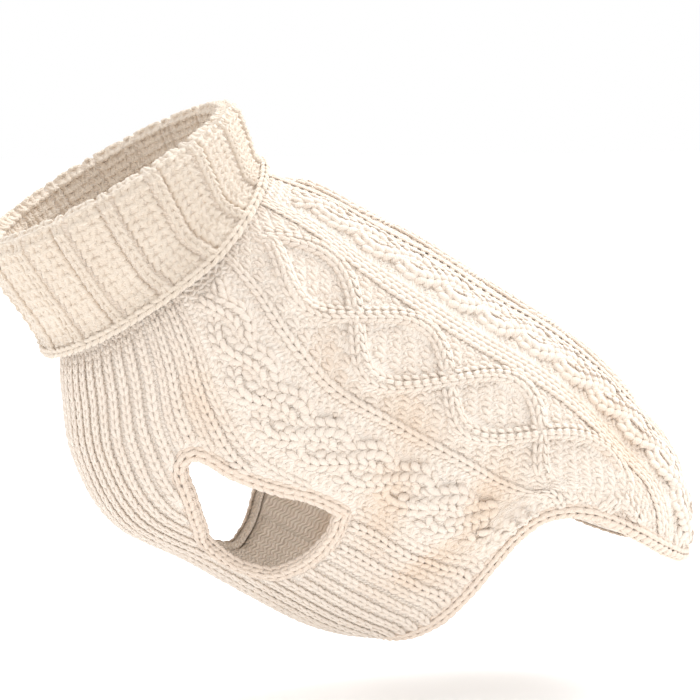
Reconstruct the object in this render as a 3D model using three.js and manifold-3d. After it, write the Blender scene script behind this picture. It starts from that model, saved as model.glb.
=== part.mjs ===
// A hand-knitted dog sweater in its worn shape: a folded turtleneck, a cabled back that wraps the flanks,
// a ribbed breast and belly, two bound leg openings and a bound hem. Millimetres, +Z up.
// +X points to the tail and -Y to the wearer's left. The origin is on the withers, where the sweater is held.

import * as THREE from 'three';
import { mergeVertices } from 'three/addons/utils/BufferGeometryUtils.js';
import Module from 'manifold-3d';

// Driving dimensions
const WALL = 3.0; // thickness of the knitted cloth without its cables
const SEAM_GAP = 0.3; // between two pieces that are sewn together
const BIND_WIDTH = 4.2; // bound edge of the leg openings and the hem, along the cloth
const BIND_THICKNESS = 4.6; // and across it
const RIB_HEIGHT = 1.1; // breast and belly ribs
const RIBS_PER_SIDE = 10;
const COLLAR_RIBS = 17;
const COLLAR_RIB_HEIGHT = 1.8;
const COLLAR_BAND_HEIGHT = 0.7; // the stitches between two collar ribs
const PLY_GAP = 1.2; // between the two plies of the folded collar
const COLLAR_LOW_SIDE = 3.1; // the collar's lower edge at the breast and sides, in rings
const COLLAR_LOW_BACK = 2.45; // and on the back midline
const COLLAR_FLARE = 2.5; // how far its lower edge stands off the breast

const CREAM = new THREE.Color(0.93, 0.88, 0.81);
const CREAM_SHADED = new THREE.Color(0.91, 0.85, 0.77);

// Turns rows of numbers into rows with named columns.
function table(columns, rows) {
  const names = columns.split(' ');
  return rows.map((row) => Object.fromEntries(names.map((name, i) => [name, row[i]])));
}

// The sweater's outside as rings, from the collar's top, by way of the neck seam, to the hem. back and breast are the
// ring's ends in the middle plane, width is half of it, egg makes its upper half wider, lift raises its sides, and seam
// is the angle of the side seam, in degrees from the back midline.
const RINGS = table('backX backZ breastX breastZ width egg lift seam', [
  [-34.0, 32.5, -125.0, -20.0, 51.0, 0.0, 0.0, 122.0],
  [-30.5, 21.0, -114.5, -34.0, 49.0, 0.0, 0.0, 122.0],
  [-25.0, 9.0, -103.0, -48.5, 47.0, 0.0, 0.0, 122.0],
  [-11.0, 3.5, -96.0, -61.0, 50.0, 0.0, 0.0, 122.5],
  [8.0, -3.5, -94.0, -82.0, 56.0, 0.0, 0.0, 124.0],
  [29.5, -15.0, -90.5, -105.0, 61.0, 0.05, 0.0, 128.0],
  [52.0, -26.5, -76.5, -129.5, 64.0, 0.1, 0.0, 131.0],
  [75.0, -41.5, -49.0, -145.0, 66.0, 0.1, 0.0, 131.0],
  [99.0, -55.5, -24.0, -160.0, 66.0, 0.1, 2.0, 131.0],
  [122.0, -73.0, -4.0, -171.5, 65.0, 0.1, 9.0, 131.5],
  [141.5, -93.5, 8.0, -176.5, 65.0, 0.1, 19.0, 132.0],
  [155.0, -112.5, 14.0, -178.0, 65.0, 0.1, 30.0, 132.5],
  [161.5, -131.0, 17.0, -178.5, 64.0, 0.1, 38.0, 133.0],
  [161.5, -148.0, 19.0, -178.5, 63.0, 0.1, 40.5, 133.0],
]);
const LIFT_BACK = 4; // how steeply the lift dies out towards the back midline
const LIFT_BREAST = 6; // and towards the breast's
const NECK = 2; // the neck seam's ring
const UNDER_COLLAR = 3.1; // the cloth is plain up to this ring, where the collar lies on it
const HEM = RINGS.length - 1;

// Folds of the worn cloth, from one angle and ring to another. A negative height is a trough.
const FOLDS = table('angle1 ring1 angle2 ring2 width height', [
  [66, 3.4, 82, 5.5, 8, 2.8],
  [72, 4.9, 83, 6.1, 8, -2.6],
  [70, 5.4, 79, 6.5, 8, 1.8],
  [76, 6.3, 86, 7.6, 8, -2.6],
  [93, 7.3, 119, 8.3, 8, -3.0],
  [80, 8.7, 106, 9.8, 8.5, -3.4],
  [106, 9.8, 130, 9.2, 8.5, -3.0],
  [98, 8.2, 112, 9.0, 9, 1.6],
  [40, 8.6, 52, 11.2, 12, -2.6],
  [112, 4.4, 118, 5.5, 7, -2.0],
  [150, 4.6, 142, 6.2, 9, 1.6],
]);

// Cables of the back: a rope has two strands that twist, a lattice two that part and cross once in each pitch. place and
// half are the cable's middle and half width, as fractions of the way from the back midline to the side seam.
const CABLES = table('place half pitch height parts', [
  [0.0, 0.11, 44, 2.4, 1],
  [0.25, 0.075, 38, 2.8, 0],
  [0.5, 0.11, 44, 2.4, 1],
  [0.76, 0.07, 38, 2.8, 0],
]);
const STRAND = 4.2; // half width of a lattice's strand, along the cloth
const ROPE_STRAND = 0.6; // half width of a rope's strand, as a part of the rope's

// The leg opening's cut edge, from its front corner along the flank and back under the belly.
const LEG_EDGE = table('angle ring', [
  [127.0, 5.44],
  [121.0, 5.66],
  [118.5, 6.1],
  [116.0, 6.6],
  [113.5, 7.0],
  [113.0, 7.34],
  [117.5, 7.62],
  [127.5, 7.84],
  [141.0, 7.92],
  [153.5, 7.75],
  [158.5, 7.3],
  [155.5, 6.85],
  [145.0, 6.4],
  [137.5, 6.0],
  [133.5, 5.6],
]);
const LEG_STEPS = 44;

// Grid sizes
const BACK_COLUMNS = 36; // from the midline to one seam
const ROWS = 38; // along both panels, so that their seam's corners lie face to face
const INNER_COLUMNS = 24; // right across a panel
const INNER_ROWS = 24;
const HEM_STEPS = 72;

const radians = THREE.MathUtils.degToRad;
const { smoothstep, clamp, lerp } = THREE.MathUtils;

function ringAt(ring) {
  const i = clamp(Math.floor(ring), 0, HEM - 1);
  const f = clamp(ring, 0, HEM) - i;
  const [b, c] = [RINGS[i], RINGS[i + 1]];
  const out = {};
  for (const name of Object.keys(b)) {
    const a = i > 0 ? RINGS[i - 1][name] : 2 * b[name] - c[name];
    const d = i < HEM - 1 ? RINGS[i + 2][name] : 2 * c[name] - b[name];
    const slope = c[name] - a;
    const bend = 2 * a - 5 * b[name] + 4 * c[name] - d;
    const twist = 3 * b[name] - a - 3 * c[name] + d;
    out[name] = 0.5 * (2 * b[name] + slope * f + bend * f * f + twist * f * f * f);
  }
  return out;
}

// A point of the smooth outside. The angle is 0 on the back midline and 180 degrees on the breast's.
function tube(angle, ring) {
  const r = ringAt(ring);
  const [cos, sin] = [Math.cos(angle), Math.sin(angle)];
  const axisX = (r.backX - r.breastX) / 2;
  const axisZ = (r.backZ - r.breastZ) / 2;
  const half = Math.hypot(axisX, axisZ);
  const up = r.lift * sin ** (cos > 0 ? LIFT_BACK : LIFT_BREAST);
  return new THREE.Vector3(
    (r.backX + r.breastX) / 2 + axisX * cos - (axisZ / half) * up,
    -r.width * sin * (1 + r.egg * cos),
    (r.backZ + r.breastZ) / 2 + axisZ * cos + (axisX / half) * up,
  );
}

const STEP_ANGLE = 0.004;
const STEP_RING = 0.01;

// The directions round the ring and towards the hem, and the outward normal.
function frameAt(angle, ring) {
  const at = clamp(ring, STEP_RING, HEM - STEP_RING);
  const round = tube(angle + STEP_ANGLE, at).sub(tube(angle - STEP_ANGLE, at));
  const down = tube(angle, at + STEP_RING).sub(tube(angle, at - STEP_RING));
  const perRadian = round.length() / (2 * STEP_ANGLE);
  const perRing = down.length() / (2 * STEP_RING);
  const normal = round.clone().cross(down).normalize();
  return { round: round.normalize(), down: down.normalize(), normal, perRadian, perRing };
}

// Height of the folds at a point, in both flanks alike.
function foldHeight(angle, ring) {
  const side = Math.abs(Math.atan2(Math.sin(angle), Math.cos(angle)));
  const { perRadian, perRing } = frameAt(side, ring);
  let height = 0;
  for (const fold of FOLDS) {
    const ax = (radians(fold.angle2) - radians(fold.angle1)) * perRadian;
    const ay = (fold.ring2 - fold.ring1) * perRing;
    const px = (side - radians(fold.angle1)) * perRadian;
    const py = (ring - fold.ring1) * perRing;
    const t = clamp((px * ax + py * ay) / (ax * ax + ay * ay), 0, 1);
    const distance = Math.hypot(px - ax * t, py - ay * t);
    const taper = 0.35 + 0.65 * Math.sin(Math.PI * t);
    height += fold.height * taper * Math.exp(-((distance / fold.width) ** 2));
  }
  const calm = smoothstep(ring, UNDER_COLLAR, UNDER_COLLAR + 0.8) * (1 - smoothstep(ring, HEM - 0.9, HEM));
  return height * calm;
}

// A point of the cloth, so far above its smooth outside. A negative height is inside the wall.
function cloth(angle, ring, height = 0) {
  const { normal } = frameAt(angle, ring);
  return tube(angle, ring).addScaledVector(normal, height + foldHeight(angle, ring));
}

// The way along a column of stitches from the neck seam, in millimetres.
const RUN_STEPS = 8;
function runTo(angle, ring) {
  const steps = Math.max(1, Math.ceil(Math.abs(ring - NECK) * RUN_STEPS));
  let run = 0;
  let last = tube(angle, NECK);
  for (let i = 1; i <= steps; i += 1) {
    const next = tube(angle, lerp(NECK, ring, i / steps));
    run += next.distanceTo(last);
    last = next;
  }
  return run;
}

// Raised cables at a fraction of the way to the seam. Each strand is an arch, and a rope's upper one stands higher.
function cableHeight(fraction, ring) {
  const seam = radians(ringAt(ring).seam);
  let height = 0;
  for (const cable of CABLES) {
    const middle = cable.place * seam;
    const across = frameAt(middle, ring).perRadian * seam;
    const turn = ((cable.parts ? 1 : 2) * Math.PI * runTo(middle, ring)) / cable.pitch;
    const reach = cable.half * across;
    const strand = cable.parts ? STRAND : reach * ROPE_STRAND;
    const sway = (reach - strand) * Math.cos(turn);
    for (const side of [-1, 1]) {
      const x = ((Math.abs(fraction) - cable.place) * across - side * sway) / strand;
      const lifted = cable.parts ? 1 : 0.8 + 0.2 * side * Math.sin(turn);
      height = Math.max(height, cable.height * lifted * (1 - x * x));
    }
  }
  return height;
}

// How far the leg opening is, from 0 on its edge to 1 well away, so that the relief dies out there.
function awayFromLeg(angle, ring) {
  const side = Math.abs(Math.atan2(Math.sin(angle), Math.cos(angle)));
  const { perRadian, perRing } = frameAt(side, ring);
  const nearest = Math.min(...LEG_EDGE.map((p) => (
    Math.hypot((side - radians(p.angle)) * perRadian, (ring - p.ring) * perRing))));
  return smoothstep(nearest, 4, 13);
}

function calmEnds(ring) {
  return smoothstep(ring, UNDER_COLLAR, UNDER_COLLAR + 0.7) * (1 - smoothstep(ring, HEM - 0.35, HEM));
}

// 1 where rings and stitch columns cross square, 0 where they slant too much to carry a cable.
function squareness(angle, ring) {
  const { round, down } = frameAt(angle, ring);
  return 1 - smoothstep(Math.abs(round.dot(down)), 0.5, 0.8);
}

function backRelief(fraction, angle, ring) {
  const calmSeam = 1 - smoothstep(Math.abs(fraction), 0.93, 1);
  const calm = calmEnds(ring) * calmSeam * awayFromLeg(angle, ring) * squareness(angle, ring);
  return cableHeight(fraction, ring) * calm;
}

function breastRelief(fraction, angle, ring) {
  const wave = 0.5 - 0.5 * Math.cos(2 * Math.PI * fraction * RIBS_PER_SIDE);
  return RIB_HEIGHT * wave * smoothstep(ring, UNDER_COLLAR, UNDER_COLLAR + 0.5) * (1 - smoothstep(ring, HEM - 0.3, HEM));
}

// Triangles between two lines of corners that run the same way and may have different counts. flip turns them to the
// other side.
function zip(lineA, lineB, faces, flip = false) {
  let [i, j] = [0, 0];
  while (i < lineA.length - 1 || j < lineB.length - 1) {
    const nextA = (i + 1) / (lineA.length - 1);
    const nextB = (j + 1) / (lineB.length - 1);
    const stepA = j === lineB.length - 1 || (i < lineA.length - 1 && nextA <= nextB);
    const third = stepA ? lineA[i + 1] : lineB[j + 1];
    faces.push(flip ? [lineA[i], lineB[j], third] : [lineA[i], third, lineB[j]]);
    if (stepA) i += 1;
    else j += 1;
  }
}

function geometryOf(points, faces) {
  const geometry = new THREE.BufferGeometry();
  geometry.setAttribute('position', new THREE.Float32BufferAttribute(points.flatMap((p) => p.toArray()), 3));
  geometry.setIndex(faces.flat());
  geometry.computeVertexNormals();
  return geometry;
}

// A grid of corners, row by row, and the triangles over it. flip turns them to the other side.
function grid(points, faces, rows, columns, pointAt, flip) {
  const corners = [];
  for (let j = 0; j <= rows; j += 1) {
    corners.push([]);
    for (let i = 0; i <= columns; i += 1) {
      corners[j].push(points.length);
      points.push(pointAt(i / columns, j / rows));
    }
  }
  for (let j = 0; j < rows; j += 1) {
    for (let i = 0; i < columns; i += 1) {
      const [a, b] = [corners[j][i], corners[j][i + 1]];
      const [c, d] = [corners[j + 1][i + 1], corners[j + 1][i]];
      faces.push(...ridgeFaces(points, a, b, c, d, flip));
    }
  }
  return corners;
}

// The two triangles of a cell, split along the diagonal that stands out, so that a slanting cord keeps its ridge.
function ridgeFaces(points, a, b, c, d, flip) {
  const ac = points[c].clone().sub(points[a]);
  const bd = points[d].clone().sub(points[b]);
  const rise = points[a].clone().add(points[c]).sub(points[b]).sub(points[d]);
  const split = rise.dot(ac.cross(bd)) > 0 ? [[a, b, c], [a, c, d]] : [[b, c, d], [b, d, a]];
  return flip ? split.map(([p, q, r]) => [p, r, q]) : split;
}

// A panel of cloth: a fine outside with its relief, a plain inside, and the four edges between them.
function panel({ columns, angleAt, relief }) {
  const points = [];
  const faces = [];
  const ringOf = (v) => lerp(NECK, HEM, v);
  const place = (u, v, raised) => {
    const fraction = 2 * u - 1;
    const ring = ringOf(v);
    const angle = angleAt(fraction, ring);
    return cloth(angle, ring, raised ? relief(fraction, angle, ring) : -WALL);
  };
  const outer = grid(points, faces, ROWS, columns, (u, v) => place(u, v, true), false);
  const lastRow = (INNER_ROWS - 1) / INNER_ROWS;
  const inner = grid(points, faces, INNER_ROWS - 1, INNER_COLUMNS, (u, v) => place(u, v * lastRow, false), true);
  const hemLine = outer.at(-1).map((_, i) => points.push(place(i / columns, 1, false)) - 1);
  zip(inner.at(-1), hemLine, faces, true);
  inner.push(hemLine);
  const side = (corners, i) => corners.map((row) => row.at(i));
  zip(outer[0], inner[0], faces, true);
  zip(outer.at(-1), inner.at(-1), faces);
  zip(side(outer, 0), side(inner, 0), faces);
  zip(side(outer, -1), side(inner, -1), faces, true);
  return geometryOf(points, faces);
}

function halfGapAngle(angle, ring) {
  return SEAM_GAP / 2 / frameAt(angle, ring).perRadian;
}

function backAngle(fraction, ring) {
  const seam = radians(ringAt(ring).seam);
  return fraction * (seam - halfGapAngle(seam, ring));
}

function breastAngle(fraction, ring) {
  const seam = radians(ringAt(ring).seam);
  return Math.PI + fraction * (Math.PI - seam - halfGapAngle(seam, ring));
}

// The leg opening's edge as a smooth closed curve in angle and ring, on the near or the far side.
function legEdge(side) {
  const knots = LEG_EDGE.map((p) => new THREE.Vector3(p.angle, p.ring, 0));
  const curve = new THREE.CatmullRomCurve3(knots, true, 'centripetal');
  return curve.getPoints(LEG_STEPS).slice(0, LEG_STEPS).map((p) => [side * radians(p.x), p.y]);
}

// A closed bound edge: an oval section swept along a loop of stations.
const BIND_SIDES = 6;
function boundEdge(stations, flip) {
  const points = [];
  const faces = [];
  const count = stations.length;
  for (const { middle, across, out } of stations) {
    for (let k = 0; k < BIND_SIDES; k += 1) {
      const turn = (2 * Math.PI * (k + 0.5)) / BIND_SIDES;
      const p = middle.clone().addScaledVector(across, (BIND_WIDTH / 2) * Math.cos(turn));
      points.push(p.addScaledVector(out, (BIND_THICKNESS / 2) * Math.sin(turn)));
    }
  }
  for (let i = 0; i < count; i += 1) {
    for (let k = 0; k < BIND_SIDES; k += 1) {
      const [i2, k2] = [(i + 1) % count, (k + 1) % BIND_SIDES];
      const [a, b] = [i * BIND_SIDES + k, i2 * BIND_SIDES + k];
      const [c, d] = [i2 * BIND_SIDES + k2, i * BIND_SIDES + k2];
      faces.push(flip ? [a, c, b] : [a, b, c], flip ? [a, d, c] : [a, c, d]);
    }
  }
  return geometryOf(points, faces);
}

// Stations of a binding just off a cut edge. Each edge point has its place in the wall, the way out of the cloth, and
// roughly the way off the edge.
function stationsAlong(edge) {
  const count = edge.length;
  return edge.map(({ at, out, off }, i) => {
    const along = edge[(i + 1) % count].at.clone().sub(edge[(i + count - 1) % count].at).normalize();
    const across = along.cross(out).normalize();
    if (across.dot(off) < 0) across.negate();
    const middle = at.clone().addScaledVector(across, SEAM_GAP + BIND_WIDTH / 2);
    return { middle, across, out };
  });
}

function edgePoint(angle, ring) {
  const { down, normal } = frameAt(angle, ring);
  return { at: cloth(angle, ring, -WALL / 2), out: normal, off: down };
}

function legBinding(side) {
  const edge = legEdge(side).map(([angle, ring]) => edgePoint(angle, ring));
  const centre = edge.reduce((sum, e) => sum.add(e.at), new THREE.Vector3()).divideScalar(edge.length);
  for (const point of edge) point.off = centre.clone().sub(point.at);
  return boundEdge(stationsAlong(edge), side < 0);
}

function hemBinding() {
  const edge = Array.from({ length: HEM_STEPS }, (_, i) => edgePoint((2 * Math.PI * i) / HEM_STEPS, HEM));
  return boundEdge(stationsAlong(edge), true);
}

// The collar's rib pattern round the neck: a narrow cord, a gap on each side of it, and a band of stitches.
const RIB_PATTERN = table('at height', [
  [0.0, 1],
  [0.1, 0.6],
  [0.19, 0],
  [0.5, COLLAR_BAND_HEIGHT / COLLAR_RIB_HEIGHT],
  [0.81, 0],
  [0.9, 0.6],
]);

function collarLow(angle) {
  const back = Math.max(0, Math.cos(angle)) ** 1.5;
  return lerp(COLLAR_LOW_SIDE, COLLAR_LOW_BACK, back);
}

// The outer ply stands off towards its lower edge, most of all on the breast.
function collarFlare(angle, row) {
  return row.ply === 'outer' ? COLLAR_FLARE * row.end ** 2 * (0.5 - 0.5 * Math.cos(angle)) : 0;
}

// The collar's section from the lower edge over the fold to the neck seam and back between the plies. ring is measured
// from 0 at the top to 1 at the ply's end, out from the neck's outside, and relief says how much of the ribs shows.
const OUTER_IN = PLY_GAP;
const OUTER_OUT = PLY_GAP + WALL;
const COLLAR_OUTSIDE = table('ply end out relief', [
  ['outer', 1.0, OUTER_OUT - 0.6, 0.5],
  ['outer', 0.985, OUTER_OUT + 0.9, 0.3],
  ['outer', 0.945, OUTER_OUT + 0.9, 0.3],
  ['outer', 0.925, OUTER_OUT, 1],
  ['outer', 0.7, OUTER_OUT + 0.2, 1],
  ['outer', 0.45, OUTER_OUT + 0.3, 1],
  ['outer', 0.2, OUTER_OUT, 1],
  ['outer', 0.07, OUTER_OUT - 0.6, 1],
  ['outer', 0.015, OUTER_OUT - 2.2, 0.7],
  ['outer', 0.0, 0.4, 0.3],
]);
const COLLAR_INSIDE = table('ply end out', [
  ['inner', 0.01, -WALL + 1.4],
  ['inner', 0.07, -WALL],
  ['inner', 0.5, -WALL],
  ['inner', 1.0, -WALL],
  ['inner', 1.0, 0],
  ['inner', 0.5, 0],
  ['inner', 0.16, 0],
  ['outer', 0.09, OUTER_IN],
  ['outer', 0.35, OUTER_IN],
  ['outer', 0.7, OUTER_IN],
  ['outer', 1.0, OUTER_IN],
]);
const COLLAR_INNER_STEPS = 2 * COLLAR_RIBS;

function collar() {
  const points = [];
  const faces = [];
  const place = (angle, row, ribs) => {
    const innerEnd = NECK - SEAM_GAP / frameAt(angle, NECK).perRing;
    const ring = row.end * (row.ply === 'outer' ? collarLow(angle) : innerEnd);
    const { normal } = frameAt(angle, ring);
    return tube(angle, ring).addScaledVector(normal, row.out + ribs + collarFlare(angle, row));
  };
  const loop = (row, angles, ribs) => {
    const corners = angles.map((angle, i) => {
      points.push(place(angle, row, ribs(i)));
      return points.length - 1;
    });
    return [...corners, corners[0]];
  };
  const perRib = RIB_PATTERN.length;
  const fine = [];
  for (let rib = 0; rib < COLLAR_RIBS; rib += 1) {
    for (const { at } of RIB_PATTERN) fine.push((2 * Math.PI * (rib + at)) / COLLAR_RIBS);
  }
  const coarse = Array.from({ length: COLLAR_INNER_STEPS }, (_, i) => (2 * Math.PI * i) / COLLAR_INNER_STEPS);
  const loops = [
    ...COLLAR_OUTSIDE.map((row) => (
      loop(row, fine, (i) => RIB_PATTERN[i % perRib].height * COLLAR_RIB_HEIGHT * row.relief))),
    ...COLLAR_INSIDE.map((row) => loop(row, coarse, () => 0)),
  ];
  loops.forEach((line, i) => zip(line, loops[(i + 1) % loops.length], faces, true));
  return geometryOf(points, faces);
}

// Joins and cuts
const wasm = await Module();
wasm.setup();

function solid(geometry) {
  const bare = geometry.clone();
  bare.deleteAttribute('normal');
  const merged = mergeVertices(bare, 1e-4);
  return new wasm.Manifold(new wasm.Mesh({
    numProp: 3,
    vertProperties: new Float32Array(merged.attributes.position.array),
    triVerts: new Uint32Array(merged.index.array),
  }));
}

function geometryFrom(manifold) {
  const { vertProperties, triVerts } = manifold.getMesh();
  const geometry = new THREE.BufferGeometry();
  geometry.setAttribute('position', new THREE.BufferAttribute(new Float32Array(vertProperties), 3));
  geometry.setIndex(new THREE.BufferAttribute(new Uint32Array(triVerts), 1));
  geometry.computeVertexNormals();
  return geometry;
}

// A plug that fills the leg opening well past both faces of the cloth.
const PLUG_REACH = 14;
function legPlug(side) {
  const edge = legEdge(side);
  const points = [];
  const faces = [];
  const loopAt = (height) => edge.map(([angle, ring]) => {
    points.push(cloth(angle, ring, height));
    return points.length - 1;
  });
  const low = loopAt(-PLUG_REACH);
  const high = loopAt(PLUG_REACH);
  const middleOf = (corners) => {
    const sum = corners.reduce((total, i) => total.add(points[i]), new THREE.Vector3());
    points.push(sum.divideScalar(corners.length));
    return points.length - 1;
  };
  const lowMiddle = middleOf(low);
  const highMiddle = middleOf(high);
  edge.forEach((_, i) => {
    const j = (i + 1) % edge.length;
    const around = [
      [low[i], low[j], high[j]],
      [low[i], high[j], high[i]],
      [low[j], low[i], lowMiddle],
      [high[i], high[j], highMiddle],
    ];
    for (const [a, b, c] of around) faces.push(side > 0 ? [a, c, b] : [a, b, c]);
  });
  return solid(geometryOf(points, faces));
}

const plugs = [1, -1].map(legPlug);

function cutLegs(geometry) {
  return geometryFrom(plugs.reduce((body, plug) => body.subtract(plug), solid(geometry)));
}

const knit = (color) => new THREE.MeshStandardMaterial({ color, roughness: 0.95, metalness: 0 });

function piece(name, geometry, color) {
  const mesh = new THREE.Mesh(geometry, knit(color));
  mesh.name = name;
  return mesh;
}

const back = panel({ columns: 2 * BACK_COLUMNS, angleAt: backAngle, relief: backRelief });
const breast = panel({ columns: 4 * RIBS_PER_SIDE, angleAt: breastAngle, relief: breastRelief });

const sweater = new THREE.Group();
sweater.add(
  piece('back_panel', cutLegs(back), CREAM),
  piece('breast_panel', cutLegs(breast), CREAM),
  piece('collar', collar(), CREAM_SHADED),
  piece('leg_binding_left', legBinding(1), CREAM_SHADED),
  piece('leg_binding_right', legBinding(-1), CREAM_SHADED),
  piece('hem_binding', hemBinding(), CREAM),
);

export default sweater;
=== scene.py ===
"""A hand-knitted dog sweater as worn: folded turtleneck, cabled back, ribbed breast and bound openings.

Every stitch that shows outside is a small loop of yarn, laid by Geometry Nodes on the worn cloth.
Lengths are in millimetres in the tables and become metres where a mesh is made.
"""

import math

import bpy
import numpy as np
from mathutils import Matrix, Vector
from mathutils.kdtree import KDTree


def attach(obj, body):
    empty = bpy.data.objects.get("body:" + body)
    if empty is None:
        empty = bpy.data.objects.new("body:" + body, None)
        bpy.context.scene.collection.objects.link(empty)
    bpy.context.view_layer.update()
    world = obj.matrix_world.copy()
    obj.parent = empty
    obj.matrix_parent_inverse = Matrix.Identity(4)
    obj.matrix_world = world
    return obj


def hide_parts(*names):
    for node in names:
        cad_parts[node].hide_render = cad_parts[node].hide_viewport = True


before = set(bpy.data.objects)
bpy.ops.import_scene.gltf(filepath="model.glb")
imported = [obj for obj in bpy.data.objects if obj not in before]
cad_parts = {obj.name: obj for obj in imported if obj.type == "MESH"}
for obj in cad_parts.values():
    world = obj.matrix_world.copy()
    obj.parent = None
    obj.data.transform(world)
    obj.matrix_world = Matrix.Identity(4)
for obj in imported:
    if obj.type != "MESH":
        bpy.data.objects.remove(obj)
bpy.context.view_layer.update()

MM = 0.001

# Driving sizes of the knitting
WALL = 3.0
BIND_WIDTH = 4.2
BIND_THICKNESS = 4.6
SEAM_GAP = 0.3
PANEL_GAP = 0.06  # between the two panels, which are sewn edge to edge
RIB_HEIGHT = 1.1
RIBS_PER_SIDE = 10
COLLAR_RIBS = 17
COLLAR_RIB_HEIGHT = 1.8
PLY_GAP = 1.2
COLLAR_LOW_SIDE = 3.1
COLLAR_LOW_BACK = 2.45
COLLAR_FLARE = 2.5  # how far the outer ply's lower edge stands off the breast
COURSE = 3.5  # from one row of stitches to the next
BACK_WALES = 66  # columns of stitches across the back panel
BASE_RISE = 0.45  # how far the cloth between the stitches lies outside the outline
YARN_LIFT = 0.15  # how far a stitch's middle lies outside the outline

# The worn outside as rings from the collar's top to the hem, as in the solids.
RING_COLUMNS = "back_x back_z breast_x breast_z width egg lift seam".split()
RINGS = np.array([
    [-34.0, 32.5, -125.0, -20.0, 51.0, 0.0, 0.0, 122.0],
    [-30.5, 21.0, -114.5, -34.0, 49.0, 0.0, 0.0, 122.0],
    [-25.0, 9.0, -103.0, -48.5, 47.0, 0.0, 0.0, 122.0],
    [-11.0, 3.5, -96.0, -61.0, 50.0, 0.0, 0.0, 122.5],
    [8.0, -3.5, -94.0, -82.0, 56.0, 0.0, 0.0, 124.0],
    [29.5, -15.0, -90.5, -105.0, 61.0, 0.05, 0.0, 128.0],
    [52.0, -26.5, -76.5, -129.5, 64.0, 0.1, 0.0, 131.0],
    [75.0, -41.5, -49.0, -145.0, 66.0, 0.1, 0.0, 131.0],
    [99.0, -55.5, -24.0, -160.0, 66.0, 0.1, 2.0, 131.0],
    [122.0, -73.0, -4.0, -171.5, 65.0, 0.1, 9.0, 131.5],
    [141.5, -93.5, 8.0, -176.5, 65.0, 0.1, 19.0, 132.0],
    [155.0, -112.5, 14.0, -178.0, 65.0, 0.1, 30.0, 132.5],
    [161.5, -131.0, 17.0, -178.5, 64.0, 0.1, 38.0, 133.0],
    [161.5, -148.0, 19.0, -178.5, 63.0, 0.1, 40.5, 133.0],
])
LIFT_BACK = 4  # how steeply the lift dies out towards the back midline
LIFT_BREAST = 6  # and towards the breast's
NECK = 2
UNDER_COLLAR = 3.1
HEM = len(RINGS) - 1

# Folds of the worn cloth: start angle and ring, end angle and ring, width, height.
FOLDS = [
    (66, 3.4, 82, 5.5, 8, 2.8),
    (72, 4.9, 83, 6.1, 8, -2.6),
    (70, 5.4, 79, 6.5, 8, 1.8),
    (76, 6.3, 86, 7.6, 8, -2.6),
    (93, 7.3, 119, 8.3, 8, -3.0),
    (80, 8.7, 106, 9.8, 8.5, -3.4),
    (106, 9.8, 130, 9.2, 8.5, -3.0),
    (98, 8.2, 112, 9.0, 9, 1.6),
    (40, 8.6, 52, 11.2, 12, -2.6),
    (112, 4.4, 118, 5.5, 7, -2.0),
    (150, 4.6, 142, 6.2, 9, 1.6),
]

# Cables: place and half width as parts of the way to the side seam, pitch, height, whether a lattice.
CABLES = [
    (0.0, 0.11, 44.0, 2.4, True),
    (0.25, 0.075, 38.0, 2.8, False),
    (0.5, 0.11, 44.0, 2.4, True),
    (0.76, 0.07, 38.0, 2.8, False),
]
STRAND = 4.2
ROPE_STRAND = 0.6

# The leg opening's cut edge: angle and ring.
LEG_EDGE = np.array([
    [127.0, 5.44], [121.0, 5.66], [118.5, 6.1], [116.0, 6.6], [113.5, 7.0],
    [113.0, 7.34], [117.5, 7.62], [127.5, 7.84], [141.0, 7.92], [153.5, 7.75],
    [158.5, 7.3], [155.5, 6.85], [145.0, 6.4], [137.5, 6.0], [133.5, 5.6],
])
LEG_STEPS = 96
HEM_STEPS = 240
PLUG_REACH = 14.0
BACK_GRID = (121, 101)  # columns and rows of a panel's wall
BREAST_GRID = (121, 61)
COLUMNS_PER_RIB = 12  # of the collar's wall


# The worn surface

def smoothstep(x, low, high):
    t = np.clip((x - low) / (high - low), 0, 1)
    return t * t * (3 - 2 * t)


def spline(rows, at):
    """Rows of numbers at fractional places, by the same Catmull-Rom curve as the solids."""
    last = len(rows) - 1
    at = np.clip(np.asarray(at, float), 0, last)
    i = np.minimum(at.astype(int), last - 1)
    f = (at - i)[..., None]
    b, c = rows[i], rows[i + 1]
    a = np.where((i > 0)[..., None], rows[np.maximum(i - 1, 0)], 2 * b - c)
    d = np.where((i < last - 1)[..., None], rows[np.minimum(i + 2, last)], 2 * c - b)
    bend = 2 * a - 5 * b + 4 * c - d
    twist = 3 * b - a - 3 * c + d
    return 0.5 * (2 * b + (c - a) * f + bend * f ** 2 + twist * f ** 3)


def tube(angle, ring):
    """Points of the smooth outside. The angle is 0 on the back midline, pi on the breast's. Left is -Y."""
    angle, ring = np.broadcast_arrays(np.asarray(angle, float), np.asarray(ring, float))
    back_x, back_z, breast_x, breast_z, width, egg, lift, _ = np.moveaxis(spline(RINGS, ring), -1, 0)
    cos, sin = np.cos(angle), np.sin(angle)
    axis_x, axis_z = (back_x - breast_x) / 2, (back_z - breast_z) / 2
    half = np.hypot(axis_x, axis_z)
    up = lift * np.abs(sin) ** np.where(cos > 0, LIFT_BACK, LIFT_BREAST)
    x = (back_x + breast_x) / 2 + axis_x * cos - axis_z / half * up
    y = -width * sin * (1 + egg * cos)
    z = (back_z + breast_z) / 2 + axis_z * cos + axis_x / half * up
    return np.stack([x, y, z], -1)


def seam_at(ring):
    return np.radians(spline(RINGS, ring)[..., RING_COLUMNS.index("seam")])


def unit(v):
    return v / np.linalg.norm(v, axis=-1, keepdims=True)


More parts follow.
